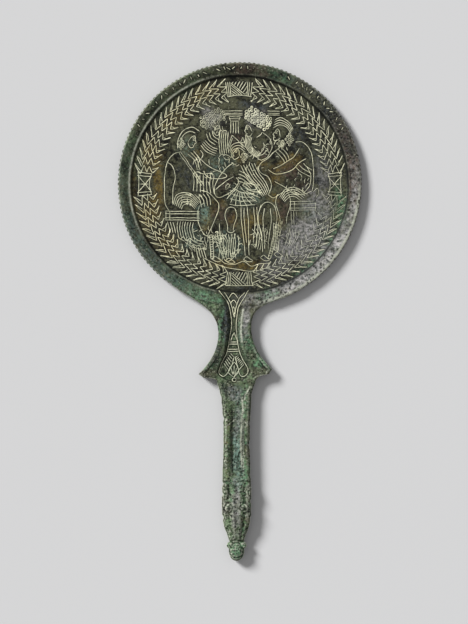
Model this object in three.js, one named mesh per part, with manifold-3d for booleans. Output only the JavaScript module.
// Hand mirror of late Etruscan form, cast in bronze as one piece: a thin disc with a sunk back and
// a notched, raised rim, a waisted neck with two pointed shoulders, and a grip that ends in an
// animal's head. It lies with its reflecting face down. The origin is the centre of that face,
// +Z goes up through the engraved back, and the handle runs along -Y. Millimetres.

import * as THREE from 'three';
import { mergeVertices } from 'three/addons/utils/BufferGeometryUtils.js';
import Module from 'manifold-3d';

// ---- Disc ----
const DISC_RADIUS = 75;
const DISC_SEGMENTS = 120;
const REST_RADIUS = 48; // the flat middle of the slightly convex reflecting face
const FACE_RISE = 0.9; // how far the reflecting face has curved up by the edge
const FIELD_RADIUS = 66.2; // the foot of the wall round the sunk field
const LIP_RADIUS = 67.7;
const BAND_RADIUS = 72.4; // where the rim's inner slope meets its top
const FIELD_HEIGHT = 2.2; // of the back at the disc's centre
const LIP_HEIGHT = 3.9;
const RIM_HEIGHT = 5.4;

// ---- Notches that part the beads of the rim ----
const NOTCH_COUNT = 160; // as if the handle weren't in the way
const NOTCH_DEPTH = 0.6;
const NOTCH_WIDTH = 1.4;
const NOTCH_FOOT = 1.4;
const PLAIN_ANGLE = 0.52; // half the arc at the neck without notches, radians

// ---- Neck and shoulders ----
const NECK_AXIS = -3.1; // the neck stands a little to the left of the disc's middle
const NECK_START = -58; // inside the disc, whose sunk field is cut out of it
const WAIST_HALF = 10.3;
const FILLET_POWER = 1.4; // how a shoulder's underside runs out into the grip
const SPREAD_POWER = 2.05; // how the neck widens from its waist to the shoulders
const GRIP_ROOT = -124;
const GRIP_ROOT_HALF = 10.4; // of the grip where the shoulders meet it
// The two sides were finished by hand and differ. side is -1 on the left and +1 on the right,
// leave the angle from the bottom of the disc where the neck's side leaves its edge, along and
// up the lengths of that curve's two handles, end and taper the shoulder's cut-off end, and
// back, drop and fillet the hollow under the shoulder and the part of it that runs out slowly.
const LEFT = {
  side: -1, leave: 0.578, along: 20, up: 14, waist: -92, tip: -116.7, reach: 22.4,
  end: 2.2, taper: 1.3, back: 8, drop: 16, fillet: 0.15,
};
const RIGHT = {
  side: 1, leave: 0.349, along: 12.5, up: 11.5, waist: -88, tip: -113.6, reach: 23,
  end: 3.2, taper: 0.6, back: 13, drop: 14, fillet: 0.42,
};

// ---- Sunk panel on the neck ----
const PANEL_AXIS = -3.5;
const PANEL = { top: -63, waist: -86, wide: -114.4, end: -121 };
const PANEL_HALF = { top: 9.4, waist: 2.2, wide: 9.6 };
const PANEL_FLOOR = { top: 2.5, end: 4.7 };
const PANEL_WALL_SLOPE = 0.9; // sideways run for each millimetre of rise

// ---- Channel along the grip ----
const CHANNEL_AXIS = -1.6;
const CHANNEL = { start: -124, open: -141, close: -172, end: -184 };
const CHANNEL_HALF = 3.2;
const CHANNEL_FLOOR = 7.0;
const CHANNEL_WALL_SLOPE = 0.35;

// ---- Grip and head ----
const GRIP_AXIS = -2.0;
const HEAD_END = -219.5;
const CUT_TOP = 14; // above everything that is cut
const COARSE_STEP = 3.2;
const FINE_STEP = 0.9;
const FINE_FROM = -110;
const FINE_TO = -128;

// What the handle's cross-section is at places along it. half is its half-width, though the neck
// and shoulders take theirs from their own curves. border is the width of the raised strip along
// each side. middle, crest and side are the heights of the back in its middle, on that strip and
// at the edge, and under and keel those of the underside at its edge and in its middle.
const STATIONS = [
  { y: -67, half: 11, border: 4.5, middle: 4.4, crest: 4.9, side: 4.2, under: 1.6, keel: 0.9 },
  { y: -76, half: 11, border: 4.5, middle: 5.0, crest: 5.4, side: 4.2, under: 1.9, keel: 0.9 },
  { y: -92, half: 11, border: 4.0, middle: 5.9, crest: 6.1, side: 4.4, under: 2.0, keel: 0.9 },
  { y: -112, half: 11, border: 3.4, middle: 5.8, crest: 6.7, side: 5.0, under: 1.8, keel: 0.9 },
  { y: -124, half: 10.3, border: 3.6, middle: 6.6, crest: 7.0, side: 5.0, under: 1.9, keel: 0.8 },
  { y: -138, half: 9.0, border: 5.0, middle: 7.3, crest: 8.0, side: 5.0, under: 2.6, keel: 0.7 },
  { y: -156, half: 8.3, border: 5.0, middle: 7.4, crest: 8.3, side: 5.0, under: 2.8, keel: 0.7 },
  { y: -176, half: 8.8, border: 5.2, middle: 7.8, crest: 8.4, side: 5.0, under: 2.8, keel: 0.7 },
  { y: -188, half: 9.2, border: 6.0, middle: 9.3, crest: 8.6, side: 5.0, under: 2.8, keel: 0.4 },
  { y: -200, half: 9.2, border: 6.0, middle: 10.3, crest: 8.8, side: 5.0, under: 2.8, keel: 0.0 },
  { y: -207, half: 8.6, border: 5.6, middle: 9.8, crest: 8.2, side: 4.8, under: 2.8, keel: 0.0 },
  { y: -214, half: 6.4, border: 4.2, middle: 8.4, crest: 7.2, side: 4.6, under: 2.8, keel: 0.0 },
  { y: -219.5, half: 4.5, border: 3.0, middle: 7.2, crest: 6.4, side: 4.4, under: 2.8, keel: 0.3 },
];

// Lumps that are cast on the head. Each is an ellipsoid: its place across, along and up, and its
// radii in the same order. All but the muzzle come in pairs.
const LUMPS = {
  muzzle: { at: [0, -225.4, 4.4], radii: [5.0, 5.8, 4.4], paired: false },
  nostril: { at: [4.0, -221.6, 5.2], radii: [2.3, 2.2, 2.4], paired: true },
  eye: { at: [4.7, -198.6, 8.9], radii: [2.4, 2.6, 2.0], paired: true },
  ear: { at: [6.7, -188.4, 7.4], radii: [2.3, 5.6, 2.3], paired: true },
  jowl: { at: [5.9, -207.5, 6.0], radii: [2.4, 5.0, 2.3], paired: true },
};
const LUMP_SEGMENTS = 12;
const LUMP_RINGS = 6;

const mix = (a, b, t) => a + (b - a) * t;
const clamp = (x) => Math.min(1, Math.max(0, x));
const ease = (x) => clamp(x) * clamp(x) * (3 - 2 * clamp(x));

// The height, width or other value called name at y, on a smooth curve through the stations.
function station(name, y) {
  const last = STATIONS.length - 1;
  const slope = (i) => {
    const before = STATIONS[Math.max(0, i - 1)];
    const after = STATIONS[Math.min(last, i + 1)];
    return (after[name] - before[name]) / (after.y - before.y);
  };
  let i = 0;
  while (i < last - 1 && y < STATIONS[i + 1].y) i += 1;
  const [from, to] = [STATIONS[i], STATIONS[i + 1]];
  const span = to.y - from.y;
  const t = clamp((y - from.y) / span);
  const start = from[name] + slope(i) * span * t;
  const finish = to[name] - slope(i + 1) * span * (1 - t);
  return mix(start, finish, ease(t));
}

// The handle's middle line: the grip is set a little to the right of the neck.
const axisAt = (y) => mix(NECK_AXIS, GRIP_AXIS, ease((-118 - y) / 20));

// The curve along one side of the neck, from the disc's edge to the waist, in the plane.
function flareCurve(form) {
  const [sin, cos] = [Math.sin(form.leave), Math.cos(form.leave)];
  const start = new THREE.Vector2(form.side * DISC_RADIUS * sin, -DISC_RADIUS * cos);
  const away = new THREE.Vector2(-form.side * cos, -sin).multiplyScalar(form.along);
  const waist = new THREE.Vector2(NECK_AXIS + form.side * WAIST_HALF, form.waist);
  const above = new THREE.Vector2(waist.x, waist.y + form.up);
  return new THREE.CubicBezierCurve(start, start.clone().add(away), above, waist);
}

for (const form of [LEFT, RIGHT]) form.curve = flareCurve(form);

// Where that curve crosses y, as a distance from the neck's axis.
function flareHalf(y, form) {
  let [high, low] = [0, 1];
  for (let halving = 0; halving < 30; halving += 1) {
    const t = (high + low) / 2;
    if (form.curve.getPoint(t).y > y) high = t;
    else low = t;
  }
  return form.side * (form.curve.getPoint(low).x - NECK_AXIS);
}

// Half the width of the handle at y, on one of its two sides.
function halfWidth(y, form) {
  if (y > form.curve.v0.y) return Math.sqrt(DISC_RADIUS ** 2 - y ** 2) - form.side * NECK_AXIS - 1;
  if (y > form.waist) return flareHalf(y, form);
  if (y > form.tip) {
    const down = (form.waist - y) / (form.waist - form.tip);
    return mix(WAIST_HALF, form.reach, down ** SPREAD_POWER);
  }
  const heel = form.tip - form.end;
  if (y > heel) return form.reach - form.taper * (form.tip - y);
  const back = clamp((heel - y) / form.back);
  const hollow = mix((1 - back) ** form.drop, (1 - back) ** FILLET_POWER, form.fillet);
  const grip = y < GRIP_ROOT ? station('half', y) : GRIP_ROOT_HALF;
  return mix(grip, form.reach - form.taper * form.end, hollow);
}

// One cross-section of the handle at y, as points [x, y, z] that go round it once.
function handleSection(y) {
  const value = (name) => Math.max(0, station(name, y));
  const middle = axisAt(y);
  const top = [];
  const below = [];
  for (const form of [LEFT, RIGHT]) {
    const half = halfWidth(y, form);
    const inner = Math.max(0.25 * half, half - value('border'));
    const rise = value('crest') - value('side');
    const across = (share) => mix(inner, half, share);
    const outline = [
      [inner * 0.5, value('middle')],
      [inner, mix(value('middle'), value('crest'), 0.3)],
      [across(0.3), value('crest') - rise * 0.02],
      [across(0.6), value('crest') - rise * 0.1],
      [across(0.88), value('crest') - rise * 0.45],
      [half, value('side')],
    ];
    const under = [
      [half, value('under')],
      [half * 0.86, mix(value('under'), value('keel'), 0.55)],
      [half * 0.6, mix(value('under'), value('keel'), 0.9)],
      [half * 0.25, value('keel')],
    ];
    const place = ([u, z]) => [middle + form.side * u, y, z];
    top.push(outline.map(place));
    below.push(under.map(place));
  }
  const crown = [middle, y, value('middle')];
  return [crown, ...top[1], ...below[1], ...below[0].reverse(), ...top[0].reverse()];
}

// A closed body through sections that all have the same number of points.
function loft(sections) {
  const count = sections[0].length;
  const index = [];
  for (let ring = 0; ring + 1 < sections.length; ring += 1) {
    for (let k = 0; k < count; k += 1) {
      const next = (k + 1) % count;
      const [a, b] = [ring * count + k, ring * count + next];
      index.push(a, b + count, b, a, a + count, b + count);
    }
  }
  const lastRing = (sections.length - 1) * count;
  for (let k = 1; k + 1 < count; k += 1) {
    index.push(0, k, k + 1, lastRing, lastRing + k + 1, lastRing + k);
  }
  const geometry = new THREE.BufferGeometry();
  geometry.setAttribute('position', new THREE.Float32BufferAttribute(sections.flat(2), 3));
  geometry.setIndex(index);
  return geometry;
}

function handleGeometry() {
  const sections = [];
  let y = NECK_START;
  while (y > HEAD_END) {
    sections.push(handleSection(y));
    y -= y <= FINE_FROM && y > FINE_TO ? FINE_STEP : COARSE_STEP;
  }
  sections.push(handleSection(HEAD_END));
  return loft(sections);
}

// What is cut out of the neck's back between the two curved lines that meet at its waist.
function panelCutter() {
  const sections = [];
  const steps = 24;
  for (let i = 0; i <= steps; i += 1) {
    const y = mix(PANEL.top, PANEL.end, i / steps);
    let half = PANEL_HALF.waist;
    if (y > PANEL.waist) {
      const up = (y - PANEL.waist) / (PANEL.top - PANEL.waist);
      half = mix(PANEL_HALF.waist, PANEL_HALF.top, up ** 2.2);
    } else if (y > PANEL.wide) {
      const down = (PANEL.waist - y) / (PANEL.waist - PANEL.wide);
      half = mix(PANEL_HALF.waist, PANEL_HALF.wide, down ** 2);
    } else {
      const round = (PANEL.wide - y) / (PANEL.wide - PANEL.end);
      half = PANEL_HALF.wide * Math.sqrt(Math.max(0.08, 1 - round ** 2));
    }
    const floor = mix(PANEL_FLOOR.top, PANEL_FLOOR.end, ease(i / steps));
    const wide = half + (CUT_TOP - floor) * PANEL_WALL_SLOPE;
    const corners = [[-half, floor], [-wide, CUT_TOP], [wide, CUT_TOP], [half, floor]];
    sections.push(corners.map(([u, z]) => [PANEL_AXIS + u, y, z]));
  }
  return loft(sections);
}

// What is cut out along the middle of the grip. It starts as a point and ends as a ramp.
function channelCutter() {
  const sections = [];
  const steps = 18;
  for (let i = 0; i <= steps; i += 1) {
    const y = mix(CHANNEL.start, CHANNEL.end, i / steps);
    const opening = ease((CHANNEL.start - y) / (CHANNEL.start - CHANNEL.open));
    const closing = ease((y - CHANNEL.end) / (CHANNEL.close - CHANNEL.end));
    const half = mix(0.4, CHANNEL_HALF, opening);
    const floor = mix(station('middle', y) + 0.3, CHANNEL_FLOOR, Math.min(opening, closing));
    const wide = half + (CUT_TOP - floor) * CHANNEL_WALL_SLOPE;
    const corners = [[-half, floor], [-wide, CUT_TOP], [wide, CUT_TOP], [half, floor]];
    sections.push(corners.map(([u, z]) => [CHANNEL_AXIS + u, y, z]));
  }
  return loft(sections);
}

function turned(points) {
  const profile = points.map(([radius, z]) => new THREE.Vector2(radius, z));
  return new THREE.LatheGeometry(profile, DISC_SEGMENTS).rotateX(Math.PI / 2);
}

// The disc before its back is sunk.
function discGeometry() {
  const edgeFoot = DISC_RADIUS - 1.2;
  const points = [[0, 0]];
  for (const share of [0, 0.4, 0.75, 1]) {
    points.push([mix(REST_RADIUS, edgeFoot, share), FACE_RISE * share ** 2]);
  }
  points.push(
    [DISC_RADIUS, 2.2],
    [DISC_RADIUS, 4.6],
    [DISC_RADIUS - 0.8, RIM_HEIGHT],
    [0, RIM_HEIGHT],
  );
  return turned(points);
}

// What is turned out of the back: the sunk field, its wall, the lip and the rim's hollow slope.
function fieldCutter() {
  return turned([
    [0, FIELD_HEIGHT],
    [FIELD_RADIUS - 4, FIELD_HEIGHT + 0.25],
    [FIELD_RADIUS, FIELD_HEIGHT + 0.4],
    [LIP_RADIUS - 0.6, LIP_HEIGHT - 0.3],
    [LIP_RADIUS, LIP_HEIGHT],
    [mix(LIP_RADIUS, BAND_RADIUS, 0.45), mix(LIP_HEIGHT, RIM_HEIGHT, 0.3)],
    [BAND_RADIUS, RIM_HEIGHT - 0.1],
    [DISC_RADIUS + 1, RIM_HEIGHT + 1],
    [DISC_RADIUS + 2, CUT_TOP],
    [0, CUT_TOP],
  ]);
}

// One notch, a small upright prism with three corners that points to the disc's middle.
function notchGeometry(angle) {
  const tip = DISC_RADIUS - NOTCH_DEPTH;
  const mouth = DISC_RADIUS + 0.5;
  const shape = new THREE.Shape([
    new THREE.Vector2(tip, 0),
    new THREE.Vector2(mouth, -NOTCH_WIDTH / 2),
    new THREE.Vector2(mouth, NOTCH_WIDTH / 2),
  ]);
  const height = RIM_HEIGHT + 1 - NOTCH_FOOT;
  const prism = new THREE.ExtrudeGeometry(shape, { depth: height, bevelEnabled: false });
  return prism.translate(0, 0, NOTCH_FOOT).rotateZ(angle);
}

function notchAngles() {
  const angles = [];
  for (let i = 0; i < NOTCH_COUNT; i += 1) {
    const fromNeck = ((i + 0.5) / NOTCH_COUNT) * 2 * Math.PI;
    const clear = Math.min(fromNeck, 2 * Math.PI - fromNeck);
    if (clear > PLAIN_ANGLE) angles.push(fromNeck - Math.PI / 2);
  }
  return angles;
}

function lumpGeometries() {
  const lumps = [];
  for (const { at, radii, paired } of Object.values(LUMPS)) {
    for (const side of paired ? [-1, 1] : [1]) {
      const ball = new THREE.SphereGeometry(1, LUMP_SEGMENTS, LUMP_RINGS);
      ball.scale(...radii).translate(GRIP_AXIS + side * at[0], at[1], at[2]);
      lumps.push(ball);
    }
  }
  return lumps;
}

const wasm = await Module();
wasm.setup();

// A closed geometry as a solid that can be joined and cut.
function solid(geometry) {
  const bare = geometry.clone();
  bare.deleteAttribute('normal');
  bare.deleteAttribute('uv');
  const merged = mergeVertices(bare, 1e-4);
  return new wasm.Manifold(new wasm.Mesh({
    numProp: 3,
    vertProperties: new Float32Array(merged.attributes.position.array),
    triVerts: new Uint32Array(merged.index.array),
  }));
}

function geometryOf(body) {
  const mesh = body.getMesh();
  const geometry = new THREE.BufferGeometry();
  geometry.setAttribute('position', new THREE.BufferAttribute(mesh.vertProperties, 3));
  geometry.setIndex(new THREE.BufferAttribute(mesh.triVerts, 1));
  geometry.computeVertexNormals();
  return geometry;
}

function mirrorGeometry() {
  let body = solid(discGeometry());
  for (const angle of notchAngles()) body = body.subtract(solid(notchGeometry(angle)));
  body = body.add(solid(handleGeometry())).subtract(solid(fieldCutter()));
  for (const lump of lumpGeometries()) body = body.add(solid(lump));
  body = body.subtract(solid(panelCutter()));
  body = body.subtract(solid(channelCutter()));
  return geometryOf(body);
}

const bronze = new THREE.MeshStandardMaterial({ color: 0x4f5a45, roughness: 0.55, metalness: 0.5 });
const mirror = new THREE.Mesh(mirrorGeometry(), bronze);
mirror.name = 'mirror';

const part = new THREE.Group();
part.add(mirror);

export default part;
